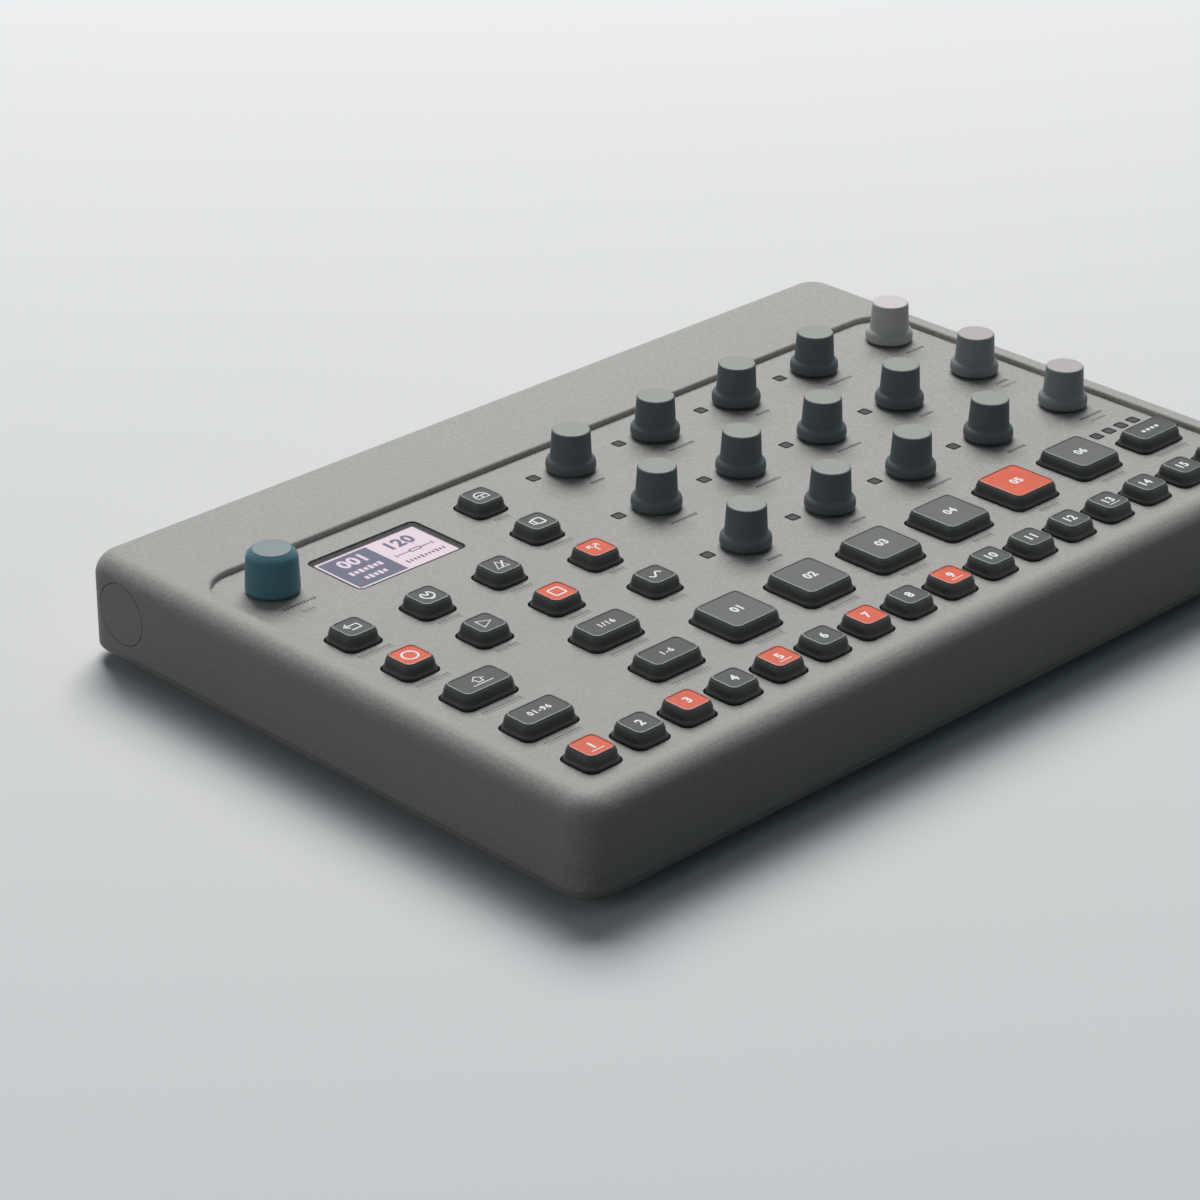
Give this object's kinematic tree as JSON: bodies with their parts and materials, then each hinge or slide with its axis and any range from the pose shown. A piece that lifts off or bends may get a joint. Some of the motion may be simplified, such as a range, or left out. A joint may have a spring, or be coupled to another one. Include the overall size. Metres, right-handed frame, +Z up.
{
  "type": "drum machine",
  "caption": "Flat desktop drum machine: grey case with a recessed panel of soft knobs and lit step keys, a small display and sockets at the rear.",
  "frame": {"origin": "middle of the case's outline, on the table under the feet", "axes": "+X to the player's right, along the longer side; +Y from the player to the rear; +Z up"},
  "size_m": [0.27, 0.18, 0.0392],
  "materials": {
    "case_paint": "fine-textured matte warm grey",
    "plate_paint": "matte warm grey powder coat",
    "screw_steel": "dark zinc plated",
    "foot_rubber": "matte black",
    "clear_plastic": "clear gloss",
    "board_resin": "solder-masked board with black components",
    "switch_plastic": "satin black",
    "key_rubber": "soft matte near-black with a lit cap",
    "knob_rubber": "soft matte slate grey",
    "level_knob_rubber": "soft matte teal",
    "grey_knob_rubber": "soft matte grey"
  },
  "bodies": {
    "case": {"top_case": "case_paint", "bottom_plate": "plate_paint", "case_screws": "screw_steel", "rubber_feet": "foot_rubber", "clear_windows": "clear_plastic", "circuit_boards": "board_resin"},
    "trig_key_01": {"trig_key_01": "key_rubber"},
    "trig_key_02": {"trig_key_02": "key_rubber"},
    "trig_key_03": {"trig_key_03": "key_rubber"},
    "trig_key_04": {"trig_key_04": "key_rubber"},
    "trig_key_05": {"trig_key_05": "key_rubber"},
    "trig_key_06": {"trig_key_06": "key_rubber"},
    "trig_key_07": {"trig_key_07": "key_rubber"},
    "trig_key_08": {"trig_key_08": "key_rubber"},
    "trig_key_09": {"trig_key_09": "key_rubber"},
    "trig_key_10": {"trig_key_10": "key_rubber"},
    "trig_key_11": {"trig_key_11": "key_rubber"},
    "trig_key_12": {"trig_key_12": "key_rubber"},
    "trig_key_13": {"trig_key_13": "key_rubber"},
    "trig_key_14": {"trig_key_14": "key_rubber"},
    "trig_key_15": {"trig_key_15": "key_rubber"},
    "trig_key_16": {"trig_key_16": "key_rubber"},
    "pad_key_1": {"pad_key_1": "key_rubber"},
    "pad_key_2": {"pad_key_2": "key_rubber"},
    "pad_key_3": {"pad_key_3": "key_rubber"},
    "pad_key_4": {"pad_key_4": "key_rubber"},
    "pad_key_5": {"pad_key_5": "key_rubber"},
    "pad_key_6": {"pad_key_6": "key_rubber"},
    "record_key": {"record_key": "key_rubber"},
    "play_key": {"play_key": "key_rubber"},
    "stop_key": {"stop_key": "key_rubber"},
    "back_key": {"back_key": "key_rubber"},
    "settings_key": {"settings_key": "key_rubber"},
    "tempo_key": {"tempo_key": "key_rubber"},
    "wave_key": {"wave_key": "key_rubber"},
    "chance_key": {"chance_key": "key_rubber"},
    "song_key": {"song_key": "key_rubber"},
    "sound_key": {"sound_key": "key_rubber"},
    "pattern_key": {"pattern_key": "key_rubber"},
    "function_key": {"function_key": "key_rubber"},
    "track_key": {"track_key": "key_rubber"},
    "retrigger_key": {"retrigger_key": "key_rubber"},
    "page_key": {"page_key": "key_rubber"},
    "level_data_knob": {"level_data_knob": "level_knob_rubber"},
    "parameter_knob_01": {"parameter_knob_01": "knob_rubber"},
    "parameter_knob_02": {"parameter_knob_02": "knob_rubber"},
    "parameter_knob_03": {"parameter_knob_03": "knob_rubber"},
    "parameter_knob_04": {"parameter_knob_04": "knob_rubber"},
    "main_volume_knob": {"main_volume_knob": "grey_knob_rubber"},
    "parameter_knob_05": {"parameter_knob_05": "knob_rubber"},
    "parameter_knob_06": {"parameter_knob_06": "knob_rubber"},
    "parameter_knob_07": {"parameter_knob_07": "knob_rubber"},
    "parameter_knob_08": {"parameter_knob_08": "knob_rubber"},
    "effect_knob_1": {"effect_knob_1": "grey_knob_rubber"},
    "parameter_knob_09": {"parameter_knob_09": "knob_rubber"},
    "parameter_knob_10": {"parameter_knob_10": "knob_rubber"},
    "parameter_knob_11": {"parameter_knob_11": "knob_rubber"},
    "parameter_knob_12": {"parameter_knob_12": "knob_rubber"},
    "effect_knob_2": {"effect_knob_2": "grey_knob_rubber"},
    "power_switch": {"power_switch": "switch_plastic"}
  },
  "joints": [
    {"name": "trig_key_01_press", "type": "slide", "parent": "case", "child": "trig_key_01", "axis": [0, 0, -1], "range_m": [0, 0.001], "stiffness_N_per_m": 800, "springref_m": -0.0005},
    {"name": "trig_key_02_press", "type": "slide", "parent": "case", "child": "trig_key_02", "axis": [0, 0, -1], "range_m": [0, 0.001], "stiffness_N_per_m": 800, "springref_m": -0.0005},
    {"name": "trig_key_03_press", "type": "slide", "parent": "case", "child": "trig_key_03", "axis": [0, 0, -1], "range_m": [0, 0.001], "stiffness_N_per_m": 800, "springref_m": -0.0005},
    {"name": "trig_key_04_press", "type": "slide", "parent": "case", "child": "trig_key_04", "axis": [0, 0, -1], "range_m": [0, 0.001], "stiffness_N_per_m": 800, "springref_m": -0.0005},
    {"name": "trig_key_05_press", "type": "slide", "parent": "case", "child": "trig_key_05", "axis": [0, 0, -1], "range_m": [0, 0.001], "stiffness_N_per_m": 800, "springref_m": -0.0005},
    {"name": "trig_key_06_press", "type": "slide", "parent": "case", "child": "trig_key_06", "axis": [0, 0, -1], "range_m": [0, 0.001], "stiffness_N_per_m": 800, "springref_m": -0.0005},
    {"name": "trig_key_07_press", "type": "slide", "parent": "case", "child": "trig_key_07", "axis": [0, 0, -1], "range_m": [0, 0.001], "stiffness_N_per_m": 800, "springref_m": -0.0005},
    {"name": "trig_key_08_press", "type": "slide", "parent": "case", "child": "trig_key_08", "axis": [0, 0, -1], "range_m": [0, 0.001], "stiffness_N_per_m": 800, "springref_m": -0.0005},
    {"name": "trig_key_09_press", "type": "slide", "parent": "case", "child": "trig_key_09", "axis": [0, 0, -1], "range_m": [0, 0.001], "stiffness_N_per_m": 800, "springref_m": -0.0005},
    {"name": "trig_key_10_press", "type": "slide", "parent": "case", "child": "trig_key_10", "axis": [0, 0, -1], "range_m": [0, 0.001], "stiffness_N_per_m": 800, "springref_m": -0.0005},
    {"name": "trig_key_11_press", "type": "slide", "parent": "case", "child": "trig_key_11", "axis": [0, 0, -1], "range_m": [0, 0.001], "stiffness_N_per_m": 800, "springref_m": -0.0005},
    {"name": "trig_key_12_press", "type": "slide", "parent": "case", "child": "trig_key_12", "axis": [0, 0, -1], "range_m": [0, 0.001], "stiffness_N_per_m": 800, "springref_m": -0.0005},
    {"name": "trig_key_13_press", "type": "slide", "parent": "case", "child": "trig_key_13", "axis": [0, 0, -1], "range_m": [0, 0.001], "stiffness_N_per_m": 800, "springref_m": -0.0005},
    {"name": "trig_key_14_press", "type": "slide", "parent": "case", "child": "trig_key_14", "axis": [0, 0, -1], "range_m": [0, 0.001], "stiffness_N_per_m": 800, "springref_m": -0.0005},
    {"name": "trig_key_15_press", "type": "slide", "parent": "case", "child": "trig_key_15", "axis": [0, 0, -1], "range_m": [0, 0.001], "stiffness_N_per_m": 800, "springref_m": -0.0005},
    {"name": "trig_key_16_press", "type": "slide", "parent": "case", "child": "trig_key_16", "axis": [0, 0, -1], "range_m": [0, 0.001], "stiffness_N_per_m": 800, "springref_m": -0.0005},
    {"name": "pad_key_1_press", "type": "slide", "parent": "case", "child": "pad_key_1", "axis": [0, 0, -1], "range_m": [0, 0.001], "stiffness_N_per_m": 800, "springref_m": -0.0005},
    {"name": "pad_key_2_press", "type": "slide", "parent": "case", "child": "pad_key_2", "axis": [0, 0, -1], "range_m": [0, 0.001], "stiffness_N_per_m": 800, "springref_m": -0.0005},
    {"name": "pad_key_3_press", "type": "slide", "parent": "case", "child": "pad_key_3", "axis": [0, 0, -1], "range_m": [0, 0.001], "stiffness_N_per_m": 800, "springref_m": -0.0005},
    {"name": "pad_key_4_press", "type": "slide", "parent": "case", "child": "pad_key_4", "axis": [0, 0, -1], "range_m": [0, 0.001], "stiffness_N_per_m": 800, "springref_m": -0.0005},
    {"name": "pad_key_5_press", "type": "slide", "parent": "case", "child": "pad_key_5", "axis": [0, 0, -1], "range_m": [0, 0.001], "stiffness_N_per_m": 800, "springref_m": -0.0005},
    {"name": "pad_key_6_press", "type": "slide", "parent": "case", "child": "pad_key_6", "axis": [0, 0, -1], "range_m": [0, 0.001], "stiffness_N_per_m": 800, "springref_m": -0.0005},
    {"name": "record_key_press", "type": "slide", "parent": "case", "child": "record_key", "axis": [0, 0, -1], "range_m": [0, 0.001], "stiffness_N_per_m": 800, "springref_m": -0.0005},
    {"name": "play_key_press", "type": "slide", "parent": "case", "child": "play_key", "axis": [0, 0, -1], "range_m": [0, 0.001], "stiffness_N_per_m": 800, "springref_m": -0.0005},
    {"name": "stop_key_press", "type": "slide", "parent": "case", "child": "stop_key", "axis": [0, 0, -1], "range_m": [0, 0.001], "stiffness_N_per_m": 800, "springref_m": -0.0005},
    {"name": "back_key_press", "type": "slide", "parent": "case", "child": "back_key", "axis": [0, 0, -1], "range_m": [0, 0.001], "stiffness_N_per_m": 800, "springref_m": -0.0005},
    {"name": "settings_key_press", "type": "slide", "parent": "case", "child": "settings_key", "axis": [0, 0, -1], "range_m": [0, 0.001], "stiffness_N_per_m": 800, "springref_m": -0.0005},
    {"name": "tempo_key_press", "type": "slide", "parent": "case", "child": "tempo_key", "axis": [0, 0, -1], "range_m": [0, 0.001], "stiffness_N_per_m": 800, "springref_m": -0.0005},
    {"name": "wave_key_press", "type": "slide", "parent": "case", "child": "wave_key", "axis": [0, 0, -1], "range_m": [0, 0.001], "stiffness_N_per_m": 800, "springref_m": -0.0005},
    {"name": "chance_key_press", "type": "slide", "parent": "case", "child": "chance_key", "axis": [0, 0, -1], "range_m": [0, 0.001], "stiffness_N_per_m": 800, "springref_m": -0.0005},
    {"name": "song_key_press", "type": "slide", "parent": "case", "child": "song_key", "axis": [0, 0, -1], "range_m": [0, 0.001], "stiffness_N_per_m": 800, "springref_m": -0.0005},
    {"name": "sound_key_press", "type": "slide", "parent": "case", "child": "sound_key", "axis": [0, 0, -1], "range_m": [0, 0.001], "stiffness_N_per_m": 800, "springref_m": -0.0005},
    {"name": "pattern_key_press", "type": "slide", "parent": "case", "child": "pattern_key", "axis": [0, 0, -1], "range_m": [0, 0.001], "stiffness_N_per_m": 800, "springref_m": -0.0005},
    {"name": "function_key_press", "type": "slide", "parent": "case", "child": "function_key", "axis": [0, 0, -1], "range_m": [0, 0.001], "stiffness_N_per_m": 800, "springref_m": -0.0005},
    {"name": "track_key_press", "type": "slide", "parent": "case", "child": "track_key", "axis": [0, 0, -1], "range_m": [0, 0.001], "stiffness_N_per_m": 800, "springref_m": -0.0005},
    {"name": "retrigger_key_press", "type": "slide", "parent": "case", "child": "retrigger_key", "axis": [0, 0, -1], "range_m": [0, 0.001], "stiffness_N_per_m": 800, "springref_m": -0.0005},
    {"name": "page_key_press", "type": "slide", "parent": "case", "child": "page_key", "axis": [0, 0, -1], "range_m": [0, 0.001], "stiffness_N_per_m": 800, "springref_m": -0.0005},
    {"name": "level_data_knob_turn", "type": "hinge", "parent": "case", "child": "level_data_knob", "pos_m": [-0.1129, 0.0422, 0.033], "axis": [0, 0, 1], "continuous": true},
    {"name": "parameter_knob_01_turn", "type": "hinge", "parent": "case", "child": "parameter_knob_01", "pos_m": [-0.0109, 0.0422, 0.033], "axis": [0, 0, 1], "continuous": true},
    {"name": "parameter_knob_02_turn", "type": "hinge", "parent": "case", "child": "parameter_knob_02", "pos_m": [0.0206, 0.0422, 0.033], "axis": [0, 0, 1], "continuous": true},
    {"name": "parameter_knob_03_turn", "type": "hinge", "parent": "case", "child": "parameter_knob_03", "pos_m": [0.0521, 0.0422, 0.033], "axis": [0, 0, 1], "continuous": true},
    {"name": "parameter_knob_04_turn", "type": "hinge", "parent": "case", "child": "parameter_knob_04", "pos_m": [0.0836, 0.0422, 0.033], "axis": [0, 0, 1], "continuous": true},
    {"name": "main_volume_knob_turn", "type": "hinge", "parent": "case", "child": "main_volume_knob", "pos_m": [0.1151, 0.0422, 0.033], "axis": [0, 0, 1], "range_deg": [-150, 150]},
    {"name": "parameter_knob_05_turn", "type": "hinge", "parent": "case", "child": "parameter_knob_05", "pos_m": [-0.0109, 0.0108, 0.033], "axis": [0, 0, 1], "continuous": true},
    {"name": "parameter_knob_06_turn", "type": "hinge", "parent": "case", "child": "parameter_knob_06", "pos_m": [0.0206, 0.0108, 0.033], "axis": [0, 0, 1], "continuous": true},
    {"name": "parameter_knob_07_turn", "type": "hinge", "parent": "case", "child": "parameter_knob_07", "pos_m": [0.0521, 0.0108, 0.033], "axis": [0, 0, 1], "continuous": true},
    {"name": "parameter_knob_08_turn", "type": "hinge", "parent": "case", "child": "parameter_knob_08", "pos_m": [0.0836, 0.0108, 0.033], "axis": [0, 0, 1], "continuous": true},
    {"name": "effect_knob_1_turn", "type": "hinge", "parent": "case", "child": "effect_knob_1", "pos_m": [0.1151, 0.0108, 0.033], "axis": [0, 0, 1], "continuous": true},
    {"name": "parameter_knob_09_turn", "type": "hinge", "parent": "case", "child": "parameter_knob_09", "pos_m": [-0.0109, -0.0206, 0.033], "axis": [0, 0, 1], "continuous": true},
    {"name": "parameter_knob_10_turn", "type": "hinge", "parent": "case", "child": "parameter_knob_10", "pos_m": [0.0206, -0.0206, 0.033], "axis": [0, 0, 1], "continuous": true},
    {"name": "parameter_knob_11_turn", "type": "hinge", "parent": "case", "child": "parameter_knob_11", "pos_m": [0.0521, -0.0206, 0.033], "axis": [0, 0, 1], "continuous": true},
    {"name": "parameter_knob_12_turn", "type": "hinge", "parent": "case", "child": "parameter_knob_12", "pos_m": [0.0836, -0.0206, 0.033], "axis": [0, 0, 1], "continuous": true},
    {"name": "effect_knob_2_turn", "type": "hinge", "parent": "case", "child": "effect_knob_2", "pos_m": [0.1151, -0.0206, 0.033], "axis": [0, 0, 1], "continuous": true},
    {"name": "power_switch_slide", "type": "slide", "parent": "case", "child": "power_switch", "axis": [-1, 0, 0], "range_m": [0, 0.0035]}
  ]
}
